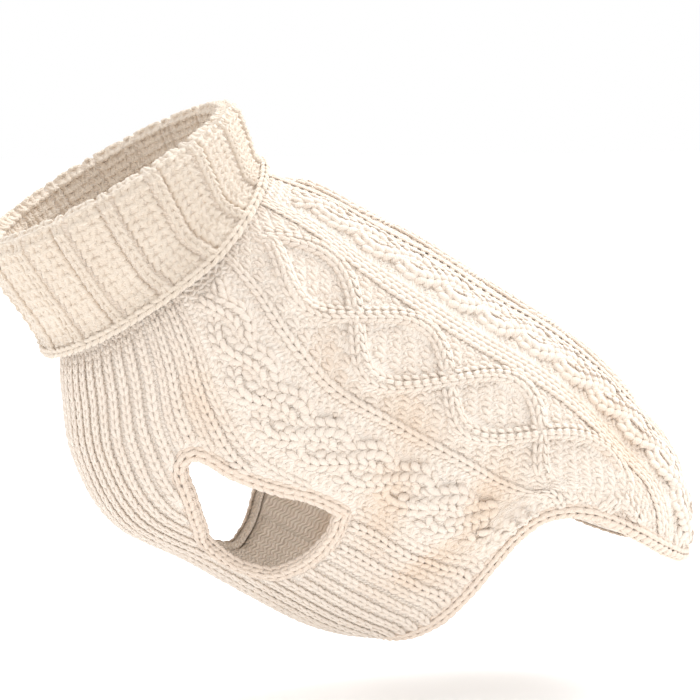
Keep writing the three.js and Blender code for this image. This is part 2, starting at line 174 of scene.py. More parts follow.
def frame_at(angle, ring):
    """Directions round the ring, towards the hem and outwards, and millimetres in a radian and a ring."""
    d_angle, d_ring = 0.004, 0.01
    at = np.clip(ring, d_ring, HEM - d_ring)
    around = (tube(angle + d_angle, at) - tube(angle - d_angle, at)) / (2 * d_angle)
    down = (tube(angle, at + d_ring) - tube(angle, at - d_ring)) / (2 * d_ring)
    per_radian = np.linalg.norm(around, axis=-1)
    per_ring = np.linalg.norm(down, axis=-1)
    return unit(around), unit(down), unit(np.cross(around, down)), per_radian, per_ring


def fold_height(angle, ring):
    side = np.abs(np.arctan2(np.sin(angle), np.cos(angle)))
    _, _, _, per_radian, per_ring = frame_at(side, ring)
    height = 0
    for angle1, ring1, angle2, ring2, width, depth in FOLDS:
        ax = np.radians(angle2 - angle1) * per_radian
        ay = (ring2 - ring1) * per_ring
        px = (side - math.radians(angle1)) * per_radian
        py = (ring - ring1) * per_ring
        t = np.clip((px * ax + py * ay) / (ax * ax + ay * ay), 0, 1)
        distance = np.hypot(px - ax * t, py - ay * t)
        height = height + depth * (0.35 + 0.65 * np.sin(math.pi * t)) * np.exp(-(distance / width) ** 2)
    calm = smoothstep(ring, UNDER_COLLAR, UNDER_COLLAR + 0.8) * (1 - smoothstep(ring, HEM - 0.9, HEM))
    return height * calm


def cloth(angle, ring, height=0.0):
    angle, ring = np.broadcast_arrays(np.asarray(angle, float), np.asarray(ring, float))
    _, _, normal, _, _ = frame_at(angle, ring)
    return tube(angle, ring) + normal * (height + fold_height(angle, ring))[..., None]


def run_to(angle, ring):
    """The way along a column of stitches from the neck seam, in millimetres."""
    t = np.linspace(0, 1, 65)
    points = tube(np.asarray(angle)[..., None], NECK + (np.asarray(ring)[..., None] - NECK) * t)
    return np.linalg.norm(np.diff(points, axis=-2), axis=-1).sum(-1)


# Cables of the back

RING_SAMPLES = np.linspace(NECK, HEM, 240)


class Cable:
    """One cable's sizes along the rings. Its two strands swing from side to side with the angle cross."""

    def __init__(self, place, half, pitch, height, lattice):
        self.place, self.height, self.lattice = place, height, lattice
        seam = seam_at(RING_SAMPLES)
        middle = place * seam
        self.across = frame_at(middle, RING_SAMPLES)[3] * seam
        self.cross = (1 if lattice else 2) * math.pi * run_to(middle, RING_SAMPLES) / pitch
        reach = half * self.across
        self.strand = np.full_like(reach, STRAND) if lattice else reach * ROPE_STRAND
        self.sway = (reach - self.strand) * np.cos(self.cross)

    def at(self, ring):
        lines = (self.across, self.cross, self.strand, self.sway)
        return [np.interp(ring, RING_SAMPLES, line) for line in lines]

    def arch(self, side, x, cross):
        """Height of a strand at x, from -1 to 1 across it. A rope's upper strand stands higher."""
        lifted = 1 if self.lattice else 0.8 + 0.2 * side * np.sin(cross)
        return self.height * lifted * (1 - x * x)


CABLE_SET = [Cable(*row) for row in CABLES]


def cable_height(fraction, ring):
    height = np.zeros(np.broadcast(fraction, ring).shape)
    for cable in CABLE_SET:
        across, cross, strand, sway = cable.at(ring)
        for side in (-1, 1):
            x = ((np.abs(fraction) - cable.place) * across - side * sway) / strand
            height = np.maximum(height, cable.arch(side, x, cross))
    return height


def away_from_leg(angle, ring):
    side = np.abs(np.arctan2(np.sin(angle), np.cos(angle)))
    _, _, _, per_radian, per_ring = frame_at(side, ring)
    nearest = np.full(np.shape(side), np.inf)
    for edge_angle, edge_ring in LEG_EDGE:
        gap = np.hypot((side - math.radians(edge_angle)) * per_radian, (ring - edge_ring) * per_ring)
        nearest = np.minimum(nearest, gap)
    return smoothstep(nearest, 4, 13)


def shear_at(angle, ring):
    """How far columns lean along the courses, where the hem rises over the thighs: 0 for none, 1 for flat."""
    around, down, _, _, _ = frame_at(angle, ring)
    return np.abs((around * down).sum(-1))


def calm_back(fraction, ring):
    """1 where a cable stands full, falling to 0 under the collar and at the hem, seam and leg opening."""
    angle = fraction * seam_at(ring)
    ends = smoothstep(ring, UNDER_COLLAR, UNDER_COLLAR + 0.7) * (1 - smoothstep(ring, HEM - 0.35, HEM))
    square = 1 - smoothstep(shear_at(angle, ring), 0.5, 0.8)
    return ends * (1 - smoothstep(np.abs(fraction), 0.93, 1)) * away_from_leg(angle, ring) * square


def back_relief(fraction, ring):
    return cable_height(fraction, ring) * calm_back(fraction, ring)


def breast_relief(fraction, ring):
    wave = 0.5 - 0.5 * np.cos(2 * math.pi * fraction * RIBS_PER_SIDE)
    ends = smoothstep(ring, UNDER_COLLAR, UNDER_COLLAR + 0.5) * (1 - smoothstep(ring, HEM - 0.3, HEM))
    return RIB_HEIGHT * wave * ends


def half_gap(angle, ring):
    return PANEL_GAP / 2 / frame_at(angle, ring)[3]


def back_angle(fraction, ring):
    seam = seam_at(ring)
    return fraction * (seam - half_gap(seam, ring))


def breast_angle(fraction, ring):
    seam = seam_at(ring)
    return math.pi + fraction * (math.pi - seam - half_gap(seam, ring))


def leg_edge(steps=LEG_STEPS):
    """The opening's edge as a closed centripetal Catmull-Rom curve of angles, in radians, and rings."""
    count = len(LEG_EDGE)
    t = np.arange(steps) * count / steps
    i, f = t.astype(int), (t % 1)[:, None]
    a, b, c, d = (LEG_EDGE[(i + k) % count] for k in (-1, 0, 1, 2))
    ab, bc, cd = (np.linalg.norm(q - p, axis=-1, keepdims=True) ** 0.5 for p, q in ((a, b), (b, c), (c, d)))
    slope_b = bc * ((b - a) / ab - (c - a) / (ab + bc) + (c - b) / bc)
    slope_c = bc * ((c - b) / bc - (d - b) / (bc + cd) + (d - c) / cd)
    bend = 3 * (c - b) - 2 * slope_b - slope_c
    twist = 2 * (b - c) + slope_b + slope_c
    curve = b + slope_b * f + bend * f ** 2 + twist * f ** 3
    return np.stack([np.radians(curve[:, 0]), curve[:, 1]], -1)


def leg_distance(angle, ring):
    """Millimetres to the nearer leg opening's edge."""
    side = np.abs(np.arctan2(np.sin(angle), np.cos(angle)))
    _, _, _, per_radian, per_ring = frame_at(side, ring)
    nearest = np.full(np.shape(side), np.inf)
    for edge_angle, edge_ring in leg_edge():
        gap = np.hypot((side - edge_angle) * per_radian, (ring - edge_ring) * per_ring)
        nearest = np.minimum(nearest, gap)
    return nearest


def in_leg(angle, ring):
    """Whether points lie inside either leg opening, by counting crossings of its edge."""
    side = np.abs(np.arctan2(np.sin(angle), np.cos(angle)))
    edge = leg_edge()
    inside = np.zeros(np.shape(side), bool)
    for (x1, y1), (x2, y2) in zip(edge, np.roll(edge, -1, 0)):
        crosses = (y1 > ring) != (y2 > ring)
        with np.errstate(divide="ignore", invalid="ignore"):
            x = x1 + (ring - y1) / (y2 - y1) * (x2 - x1)
        inside ^= crosses & (side < x)
    return inside


# Meshes

def new_object(name, mesh):
    piece = bpy.data.objects.new(name, mesh)
    bpy.context.scene.collection.objects.link(piece)
    return piece


def mesh_from(name, points, faces, uv=None):
    """A smooth mesh from points in millimetres. uv is one pair for each point."""
    mesh = bpy.data.meshes.new(name)
    mesh.from_pydata((np.asarray(points) * MM).tolist(), [], faces)
    mesh.shade_smooth()
    if uv is not None:
        layer = mesh.uv_layers.new(name="UVMap")
        corners = np.empty(len(mesh.loops), int)
        mesh.loops.foreach_get("vertex_index", corners)
        layer.data.foreach_set("uv", np.asarray(uv, np.float32)[corners].ravel())
    mesh.update()
    return mesh


def grid_faces(rows, columns, start=0, flip=False, close_columns=False):
    """Quads over rows of corners. With close_columns the last column joins the first."""
    j, i = np.mgrid[0:rows - 1, 0:columns if close_columns else columns - 1]
    a = start + j * columns + i
    b = start + j * columns + (i + 1) % columns
    quads = np.stack([a, b, b + columns, a + columns], -1).reshape(-1, 4)
    return (quads[:, ::-1] if flip else quads).tolist()


def wall(name, angle_at, relief, columns, rows):
    """A panel's wall: its outside, its inside, and the four edges between."""
    fraction, ring = np.meshgrid(np.linspace(-1, 1, columns), np.linspace(NECK, HEM, rows))
    angle = angle_at(fraction, ring)
    outer = cloth(angle, ring, relief(fraction, ring) + BASE_RISE).reshape(-1, 3)
    inner = cloth(angle, ring, -WALL).reshape(-1, 3)
    uv = np.stack([angle / math.radians(4), run_to(angle, ring) / COURSE], -1).reshape(-1, 2)
    size = rows * columns
    faces = grid_faces(rows, columns) + grid_faces(rows, columns, size, flip=True)
    top, bottom = np.arange(columns), size - columns + np.arange(columns)
    left, right = np.arange(rows) * columns, np.arange(rows) * columns + columns - 1
    for line, turned in ((top, False), (bottom, True), (left, True), (right, False)):
        for p, q in zip(line[:-1], line[1:]):
            quad = [p, q, q + size, p + size]
            faces.append([int(k) for k in (quad if turned else quad[::-1])])
    return mesh_from(name, np.concatenate([outer, inner]), faces, np.concatenate([uv, uv]))


def cut_legs(piece):
    """Cuts both leg openings out of a panel's wall."""
    for side in (1, -1):
        edge = leg_edge()
        angle, ring = side * edge[:, 0], edge[:, 1]
        count = len(edge)
        low, high = cloth(angle, ring, -PLUG_REACH), cloth(angle, ring, PLUG_REACH)
        points = np.concatenate([low, high, [low.mean(0), high.mean(0)]])
        faces = []
        for i in range(count):
            j = (i + 1) % count
            faces += [[i, j, j + count, i + count], [j, i, 2 * count], [i + count, j + count, 2 * count + 1]]
        if side > 0:
            faces = [face[::-1] for face in faces]
        plug = new_object("plug", mesh_from("plug", points, faces))
        cut = piece.modifiers.new("leg", "BOOLEAN")
        cut.operation = "DIFFERENCE"
        cut.solver = "MANIFOLD"
        cut.object = plug
        settle(piece)
        bpy.data.objects.remove(plug)


def settle(piece):
    """Makes what the modifiers show the piece's plain mesh."""
    shown = piece.evaluated_get(bpy.context.evaluated_depsgraph_get())
    mesh = bpy.data.meshes.new_from_object(shown)
    piece.modifiers.clear()
    piece.data = mesh


# The collar's section, from its lower edge over the fold and down inside: ply, part of the ply's length,
# way out, and share of the ribs' height.
OUTER_OUT = PLY_GAP + WALL
COLLAR_OUTSIDE = [
    ("outer", 1.0, OUTER_OUT - 0.6, 0.5),
    ("outer", 0.985, OUTER_OUT + 0.9, 0.3),
    ("outer", 0.945, OUTER_OUT + 0.9, 0.3),
    ("outer", 0.925, OUTER_OUT, 1.0),
    ("outer", 0.7, OUTER_OUT + 0.2, 1.0),
    ("outer", 0.45, OUTER_OUT + 0.3, 1.0),
    ("outer", 0.2, OUTER_OUT, 1.0),
    ("outer", 0.07, OUTER_OUT - 0.6, 1.0),
    ("outer", 0.015, OUTER_OUT - 2.2, 0.7),
    ("outer", 0.0, 0.4, 0.3),
]
COLLAR_INSIDE = [
    ("inner", 0.01, -WALL + 1.4, 0.3),
    ("inner", 0.07, -WALL, 0.5),
    ("inner", 0.5, -WALL, 0.5),
    ("inner", 1.0, -WALL, 0.5),
]
COLLAR_BACKS = [
    ("inner", 1.0, 0.0, 0.0),
    ("inner", 0.5, 0.0, 0.0),
    ("inner", 0.16, 0.0, 0.0),
    ("outer", 0.09, PLY_GAP, 0.0),
    ("outer", 0.35, PLY_GAP, 0.0),
    ("outer", 0.7, PLY_GAP, 0.0),
    ("outer", 1.0, PLY_GAP, 0.0),
]
# A rib's height round the neck: a narrow cord, a gap on each side of it, and a band of stitches.
RIB_AT = [0.0, 0.08, 0.15, 0.22, 0.3, 0.5, 0.7, 0.78, 0.85, 0.92, 1.0]
RIB_SHARE = [1.0, 0.7, 0.05, 0.05, 0.3, 0.39, 0.3, 0.05, 0.05, 0.7, 1.0]


def collar_low(angle):
    back = np.maximum(0, np.cos(angle)) ** 1.5
    return COLLAR_LOW_SIDE + (COLLAR_LOW_BACK - COLLAR_LOW_SIDE) * back


def collar_point(angle, row, rise=0.0):
    """A point of the collar. row: ply (0 inner, 1 outer), part of its length, way out, share of the ribs."""
    ply, end, out, relief = row
    inner_end = NECK - SEAM_GAP / frame_at(angle, np.full(np.shape(angle), float(NECK)))[4]
    ring = end * (ply * collar_low(angle) + (1 - ply) * inner_end)
    in_rib = (angle * COLLAR_RIBS / (2 * math.pi)) % 1
    ribs = COLLAR_RIB_HEIGHT * np.interp(in_rib, RIB_AT, RIB_SHARE) * relief
    flare = ply * COLLAR_FLARE * end ** 2 * (0.5 - 0.5 * np.cos(angle))
    inward = np.clip(out / 1.5, -1, 1)
    _, _, normal, _, _ = frame_at(angle, ring)
    return tube(angle, ring) + normal * (out + flare + (ribs + rise) * inward)[..., None]


def collar_rows(table):
    return np.array([[1.0 if ply == "outer" else 0.0, *rest] for ply, *rest in table])


def row_at(table, t):
    """A table's row at a fractional place."""
    return [np.interp(t, range(len(table)), column) for column in table.T]


COLLAR_FACE = collar_rows(COLLAR_OUTSIDE + COLLAR_INSIDE)
COLLAR_BACK = collar_rows(COLLAR_BACKS)


def collar_wall(name):
    """The folded collar as one closed wall: its face over the fold, and the plain backs between the plies."""
    angle = np.linspace(0, 2 * math.pi, COLLAR_RIBS * COLUMNS_PER_RIB, endpoint=False)
    lines = []
    for table, parts in ((COLLAR_FACE, 4), (COLLAR_BACK, 1)):
        for t in np.arange(0, len(table) - 1 + 1e-6, 1 / parts):
            lines.append(collar_point(angle, row_at(table, t)))
    count, rows = len(angle), len(lines)
    faces = grid_faces(rows + 1, count, close_columns=True, flip=True)
    faces = [[k % (count * rows) for k in face] for face in faces]
    steps = np.linalg.norm(np.diff(lines, axis=0), axis=-1).mean(1)
    run = np.concatenate([[0], np.cumsum(steps)])
    uv = np.stack(np.meshgrid(angle / (2 * math.pi) * COLLAR_RIBS * 4, run / COURSE), -1)
    return mesh_from(name, np.concatenate(lines), faces, uv.reshape(-1, 2))


class Binding:
    """A bound edge: a rolled oval strip along a cut edge, with the places of its stitches."""

    def __init__(self, edge, out, off):
        along = unit(np.roll(edge, -1, 0) - np.roll(edge, 1, 0))
        across = unit(np.cross(along, out))
        across *= np.sign((across * off).sum(-1, keepdims=True))
        self.middle = edge + across * (SEAM_GAP + BIND_WIDTH / 2)
        self.along, self.across, self.out = along, across, out

    def line(self, turn, rise=0.0):
        """Points along the strip at a turn round its section: 0 off the cloth, a quarter turn outside."""
        side = self.across * (BIND_WIDTH / 2 + rise) * math.cos(turn)
        return self.middle + side + self.out * (BIND_THICKNESS / 2 + rise) * math.sin(turn)

    def facing(self, turn):
        return unit(self.across * math.cos(turn) / BIND_WIDTH + self.out * math.sin(turn) / BIND_THICKNESS)


BIND_SIDES = 12


def binding_roll(name, binding, flip):
    turns = 2 * math.pi * np.arange(BIND_SIDES) / BIND_SIDES
    points = np.stack([binding.line(turn, -0.2) for turn in turns], 1)
    count = len(points)
    faces = []
    for i in range(count):
        for k in range(BIND_SIDES):
            i2, k2 = (i + 1) % count, (k + 1) % BIND_SIDES
            face = [i * BIND_SIDES + k, i2 * BIND_SIDES + k, i2 * BIND_SIDES + k2, i * BIND_SIDES + k2]
            faces.append(face[::-1] if flip else face)
    uv = np.stack(np.meshgrid(np.arange(BIND_SIDES) / 3, np.arange(count) / 2), -1)
    return mesh_from(name, points.reshape(-1, 3), faces, uv.reshape(-1, 2))


def leg_binding(side):
    edge = leg_edge()
    angle, ring = side * edge[:, 0], edge[:, 1]
    at = cloth(angle, ring, -WALL / 2)
    return Binding(at, frame_at(angle, ring)[2], at.mean(0) - at)


def hem_binding():
    angle = 2 * math.pi * np.arange(HEM_STEPS) / HEM_STEPS
    ring = np.full(HEM_STEPS, float(HEM))
    _, down, normal, _, _ = frame_at(angle, ring)
    return Binding(cloth(angle, ring, -WALL / 2), normal, down)


# Stitches

WALE = 4.4  # a stitch template's nominal width, and COURSE is its height
STITCH_DEPTH = 0.55  # how plump the stitches stand, as the worn cloth is stretched
YARN_SIDES = 5


def yarn_mesh(name, runs):
    """Lengths of yarn as closed tubes. Each run has its points and the yarn's half width at each."""
    points, faces, uv = [], [], []
    for line, radii in runs:
        line, radii = np.array(line, float), np.array(radii, float)
        start, last = sum(len(p) for p in points), len(line) - 1
        ahead = unit(np.gradient(line, axis=0))
        side = unit(np.cross(ahead, [0.0, 0.0, 1.0]))
        up = np.cross(ahead, side)
        for k in range(YARN_SIDES):
            turn = 2 * math.pi * (k + 0.5) / YARN_SIDES
            points.append(line + radii[:, None] * (side * math.cos(turn) + up * math.sin(turn)))

        def corner(i, k):
            return start + (k % YARN_SIDES) * (last + 1) + i

        for i in range(last):
            for k in range(YARN_SIDES):
                faces.append([corner(i, k), corner(i, k + 1), corner(i + 1, k + 1), corner(i + 1, k)])
                square = ((k, i), (k + 1, i), (k + 1, i + 1), (k, i + 1))
                uv += [(a / YARN_SIDES, b / last) for a, b in square]
        faces.append([corner(0, k) for k in range(YARN_SIDES)][::-1])
        faces.append([corner(last, k) for k in range(YARN_SIDES)])
        uv += [(0.0, 0.0)] * YARN_SIDES + [(0.0, 1.0)] * YARN_SIDES
    mesh = mesh_from(name, np.concatenate(points), faces)
    mesh.uv_layers.new(name="UVMap").data.foreach_set("uv", np.array(uv, np.float32).ravel())
    return mesh


def knit_template():
    """A knit stitch: two plump legs that meet at the bottom and lean apart to the top."""
    t = np.linspace(0, 1, 6)
    runs = []
    for side in (-1, 1):
        x = side * (0.28 + 1.15 * t ** 0.8)
        y = -2.5 + 4.6 * t
        z = -0.75 + 1.5 * np.sin(math.pi * (0.1 + 0.78 * t))
        radii = 0.45 + 0.62 * np.sin(math.pi * (0.12 + 0.72 * t))
        runs.append((np.stack([x, y, z], -1), radii))
    return new_object("knit_template", yarn_mesh("knit_template", runs))


def purl_template():
    """A purl stitch: yarn that comes forward at its crest and in the hollow beside it."""
    t = np.linspace(-0.53, 0.53, 9)
    x = WALE * t
    y = 0.34 * COURSE * np.cos(2 * math.pi * t)
    z = 0.1 + 0.6 * np.cos(4 * math.pi * t)
    radii = 0.98 + 0.2 * np.cos(4 * math.pi * t)
    return new_object("purl_template", yarn_mesh("purl_template", [(np.stack([x, y, z], -1), radii)]))


class Places:
    """Where stitches lie: their points, the way up each one, the way out of the cloth, and their sizes."""

    def __init__(self, at, along, out, size):
        self.at, self.along, self.out, self.size = at, along, out, size

    def only(self, keep):
        return Places(self.at[keep], self.along[keep], self.out[keep], self.size[keep])

    def __add__(self, more):
        lists = ((self.at, more.at), (self.along, more.along), (self.out, more.out), (self.size, more.size))
        return Places(*(np.concatenate(pair) for pair in lists))


def sizes(width, height):
    depth = STITCH_DEPTH * np.clip(np.sqrt(width * height), 0.8, 1.12)
    return np.stack([width, height, depth], -1)


def places_on(point_at, u, v, purl, spread=1.0):
    """Stitches at wales u and courses v of a surface. point_at gives a point for any u and v."""
    step = 0.25
    row = (point_at(u + step, v) - point_at(u - step, v)) / (2 * step)
    wale = (point_at(u, v + step) - point_at(u, v - step)) / (2 * step)
    out = unit(np.cross(row, wale))
    across, down = np.linalg.norm(row, axis=-1), np.linalg.norm(wale, axis=-1)
    slant = np.linalg.norm(np.cross(row, wale), axis=-1) / (across * down)
    if purl:
        along = unit(np.cross(out, row))
        size = sizes(across * spread / WALE, down * slant / COURSE)
    else:
        along = -unit(wale)
        size = sizes(across * spread * slant / WALE, down / COURSE)
    return Places(point_at(u, v), along, out, size)


def places_along(points, out, width, pitch, closed=True):
    """Chain stitches along a line of points, every pitch millimetres or so. width may change along it."""
    if closed:
        points, out = np.concatenate([points, points[:1]]), np.concatenate([out, out[:1]])
    run = np.concatenate([[0], np.cumsum(np.linalg.norm(np.diff(points, axis=0), axis=-1))])
    count = max(1, round(run[-1] / pitch))
    at_run = (np.arange(count) + 0.5) * run[-1] / count

    def pick(line, at):
        return np.stack([np.interp(at, run, column) for column in line.T], -1)

    along = unit(pick(points, at_run + 1) - pick(points, at_run - 1))
    facing = unit(pick(out, at_run))
    widths = np.interp(at_run, run, np.broadcast_to(width, run.shape))
    size = sizes(widths / WALE, np.full(count, run[-1] / count / COURSE))
    return Places(pick(points, at_run), along, facing, size)


# how deep a fold is where its painted shade is full, in millimetres
DEEP_FOLD = 3.0


def fold_places():
    """The worn cloth's points in a search tree, and how far each has sunk into a fold, from 0 to 1, which
    sets the painted shade of the folds.
    """
    angles = np.radians(np.arange(-180, 180, 2.5))
    angle, ring = np.meshgrid(angles, np.linspace(NECK, HEM, 120), indexing="ij")
    points = cloth(angle, ring).reshape(-1, 3)
    tree = KDTree(len(points))
    for k, point in enumerate(points):
        tree.insert(point, k)
    tree.balance()
    return tree, np.clip(-fold_height(angle, ring).ravel() / DEEP_FOLD, 0, 1)


FOLD_TREE, FOLD_SINKS = fold_places()


def store_sink(mesh, points):
    """Marks a mesh's points by how far the cloth there has sunk into a fold, which sets how much painted
    shade the folds take.
    """
    sinks = FOLD_SINKS[[FOLD_TREE.find(point)[1] for point in points]]
    mesh.attributes.new("sink", "FLOAT", "POINT").data.foreach_set("value", sinks.astype(np.float32))


def guide_mesh(name, places):
    mesh = bpy.data.meshes.new(name)
    mesh.from_pydata((places.at * MM).tolist(), [], [])
    store_sink(mesh, places.at)
    for label in ("along", "out", "size"):
        layer = mesh.attributes.new(label, "FLOAT_VECTOR", "POINT")
        layer.data.foreach_set("vector", getattr(places, label).astype(np.float32).ravel())
    return mesh


def add_node(tree, kind, inputs=(), **settings):
    """A node with its settings. inputs pairs a socket with a value or with the socket that feeds it."""
    made = tree.nodes.new(kind)
    for name, value in settings.items():
        setattr(made, name, value)
    for socket, value in dict(inputs).items():
        if isinstance(value, bpy.types.NodeSocket):
            tree.links.new(value, made.inputs[socket])
        else:
            made.inputs[socket].default_value = value
    return made


def math_node(tree, operation, first, second):
    return add_node(tree, "ShaderNodeMath", {0: first, 1: second}, operation=operation).outputs[0]


def times(tree, value, factor):
    return math_node(tree, "MULTIPLY", value, factor)


def plus(tree, one, other):
    return math_node(tree, "ADD", one, other)


def stitch_tree():
    """Lays a stitch on each guide point, turned to the cloth and a little uneven, and joins them."""
    tree = bpy.data.node_groups.new("laid_stitches", "GeometryNodeTree")
    kinds = {"Guide": "Geometry", "Stitch": "Object", "Turning": "Float", "Swelling": "Float",
             "Seed": "Int", "Yarn": "Material"}
    for name, kind in kinds.items():
        tree.interface.new_socket(name, in_out="INPUT", socket_type="NodeSocket" + kind)
    tree.interface.new_socket("Knitting", in_out="OUTPUT", socket_type="NodeSocketGeometry")
    given = tree.nodes.new("NodeGroupInput").outputs

    def attribute(name):
        kind = "GeometryNodeInputNamedAttribute"
        return add_node(tree, kind, {"Name": name}, data_type="FLOAT_VECTOR").outputs[0]

    def vector_math(operation, inputs):
        return add_node(tree, "ShaderNodeVectorMath", inputs, operation=operation).outputs[0]

    def uneven(seed_step, amount):
        seed = plus(tree, given["Seed"], float(seed_step))
        spread = add_node(tree, "FunctionNodeRandomValue", {0: (-1, -1, -1), 1: (1, 1, 1), "Seed": seed},
                          data_type="FLOAT_VECTOR").outputs[0]
        return vector_math("SCALE", {0: spread, "Scale": amount})

    straight = add_node(tree, "FunctionNodeAxesToRotation", {0: attribute("out"), 1: attribute("along")},
                        primary_axis="Z", secondary_axis="Y").outputs[0]
    shake = add_node(tree, "FunctionNodeEulerToRotation", {0: uneven(1, given["Turning"])}).outputs[0]
    turned = add_node(tree, "FunctionNodeRotateRotation", {0: straight, 1: shake}, rotation_space="LOCAL")
    swell = vector_math("ADD", {0: uneven(2, given["Swelling"]), 1: (1, 1, 1)})
    size = vector_math("MULTIPLY", {0: attribute("size"), 1: swell})
    shape = add_node(tree, "GeometryNodeObjectInfo", {"Object": given["Stitch"]}, transform_space="ORIGINAL")
    laid = add_node(tree, "GeometryNodeInstanceOnPoints", {
        "Points": given["Guide"], "Instance": shape.outputs["Geometry"],
        "Rotation": turned.outputs[0], "Scale": size})
    tone = add_node(tree, "FunctionNodeRandomValue", {"Seed": given["Seed"]}, data_type="FLOAT").outputs[1]
    toned = add_node(tree, "GeometryNodeStoreNamedAttribute",
                     {0: laid.outputs[0], "Name": "tone", "Value": tone},
                     data_type="FLOAT", domain="INSTANCE")
    joined = add_node(tree, "GeometryNodeRealizeInstances", {0: toned.outputs[0]})
    smooth = add_node(tree, "GeometryNodeSetShadeSmooth", {0: joined.outputs[0]})
    spun = add_node(tree, "GeometryNodeSetMaterial", {0: smooth.outputs[0], "Material": given["Yarn"]})
    made = tree.nodes.new("NodeGroupOutput")
    tree.links.new(spun.outputs[0], made.inputs[0])
    return tree


STITCH_TREE = stitch_tree()
TEMPLATES = {"knit": knit_template(), "purl": purl_template()}
SEEDS = iter(range(1, 100))


def knit(name, places, template, yarn, turning=0.07, swelling=0.06):
    """One piece of knitting: a plain mesh of stitches on the given places."""
    piece = new_object(name, guide_mesh(name, places))
    laying = piece.modifiers.new("stitches", "NODES")
    laying.node_group = STITCH_TREE
    values = {"Stitch": TEMPLATES[template], "Turning": turning, "Swelling": swelling,
              "Seed": next(SEEDS), "Yarn": yarn}
    for socket in STITCH_TREE.interface.items_tree:
        if socket.name in values:
            laying[socket.identifier] = values[socket.name]
    settle(piece)
    return piece


# Stitches of the panels

PANEL_LINES = 61  # lines of the table that gives a course's ring
LEG_ROOM = 1.6  # kept free of stitches along a leg opening


class Panel:
    """A panel's stitch grid: u counts wales over its width and v counts courses from the neck seam."""

    def __init__(self, angle_at, relief, wales):
        self.angle_at, self.relief, self.wales = angle_at, relief, wales
        self.fractions = np.linspace(-1, 1, PANEL_LINES)
        fraction, ring = np.meshgrid(self.fractions, RING_SAMPLES, indexing="ij")
        line = tube(angle_at(fraction, ring), ring)
        steps = np.linalg.norm(np.diff(line, axis=1), axis=-1)
        run = np.concatenate([np.zeros((PANEL_LINES, 1)), steps.cumsum(1)], 1)
        self.lengths = run[:, -1]
        self.courses = np.arange(0, self.lengths.max() / COURSE + 2)
        self.rings = np.stack([np.interp(self.courses * COURSE, one, RING_SAMPLES) for one in run])

    def ring_at(self, fraction, v):
        """The ring that course v reaches in the wale at a fraction."""
        x = (np.clip(fraction, -1, 1) + 1) / 2 * (PANEL_LINES - 1)
        i = np.minimum(x.astype(int), PANEL_LINES - 2)
        y = np.clip(v, 0, len(self.courses) - 1.001)
        j = y.astype(int)
        fx, fy = x - i, y - j
        rings = self.rings
        near = rings[i, j] * (1 - fy) + rings[i, j + 1] * fy
        far = rings[i + 1, j] * (1 - fy) + rings[i + 1, j + 1] * fy
        return near * (1 - fx) + far * fx

    def point_at(self, u, v):
        fraction = 2 * np.asarray(u, float) / self.wales - 1
        ring = self.ring_at(fraction, np.asarray(v, float))
        return cloth(self.angle_at(fraction, ring), ring, self.relief(fraction, ring) + YARN_LIFT)

    def grid(self, shift):
        """Every stitch's wale, course, fraction and ring, away from the hem and the leg openings."""
        u, v = np.meshgrid(np.arange(self.wales) + shift, self.courses + 0.5, indexing="ij")
        u, v = u.ravel(), v.ravel()
        fraction = 2 * u / self.wales - 1
        ring = self.ring_at(fraction, v)
        angle = self.angle_at(fraction, ring)
        length = np.interp(fraction, self.fractions, self.lengths)
        keep = (v * COURSE < length) & ~in_leg(angle, ring) & (leg_distance(angle, ring) > LEG_ROOM)
        return u[keep], v[keep], fraction[keep], ring[keep]


BACK = Panel(back_angle, back_relief, BACK_WALES)
BREAST = Panel(breast_angle, breast_relief, 2 * RIBS_PER_SIDE)
CABLE_CALM = 0.3  # below this share of its height a cable gives way to plain stitches
FLANK = 0.62  # the part of the way to the side seam where the flank starts
FLANK_END = 11.0  # the ring where the flank's ropes end, as their columns lean too much past it
RIDGE_WALES = (4, 12, 21, 29, 31)  # counted from the back midline
PLAIN_WALES = (11, 28, 30, 32)  # knit stitches as well, but not raised
MOSS_WALES = (0, 1, 2, 3, 13, 14, 15, 16, 17, 18, 19, 20)
RIDGE_LIFT = 0.6
STRAND_COLUMNS = (-0.48, 0.48)  # a strand's two columns of stitches, in half widths from its middle
LATTICE_HIDES = 0.85  # how near the upper strand's middle a lower column is hidden, in half widths
ROPE_HIDES = 0.65


def cable_shows(fraction, ring):
    """Whether a cable stands high enough, and isn't past the end of the flank's ropes."""
    ended = (np.abs(fraction) > FLANK) & (ring > FLANK_END)
    return (calm_back(fraction, ring) > CABLE_CALM) & ~ended


def strand_cover(fraction, ring):
    """Whether a cable's strand runs over a point of the back."""
    cover = np.zeros(fraction.shape, bool)
    for cable in CABLE_SET:
        across, _, strand, sway = cable.at(ring)
        for side in (-1, 1):
            x = ((np.abs(fraction) - cable.place) * across - side * sway) / strand
            cover |= np.abs(x) < 0.97
    return cover & cable_shows(fraction, ring)


def back_ground():
    """The stitches between the back's cables: purls, and knit ones in ridges and in the lattices' moss."""
    u, v, fraction, ring = BACK.grid(0.5)
    open_ground = ~strand_cover(fraction, ring)
    u, v = u[open_ground], v[open_ground]
    wale = (np.abs(fraction[open_ground]) * BACK_WALES / 2).astype(int)
    ridge = np.isin(wale, RIDGE_WALES)
    moss = np.isin(wale, MOSS_WALES) & ((wale + v.astype(int)) % 2 == 0)
    knit_here = ridge | moss | np.isin(wale, PLAIN_WALES)
    knits = places_on(BACK.point_at, u[knit_here], v[knit_here], purl=False)
    knits.at = knits.at + knits.out * (RIDGE_LIFT * ridge[knit_here])[:, None]
    return places_on(BACK.point_at, u[~knit_here], v[~knit_here], purl=True), knits


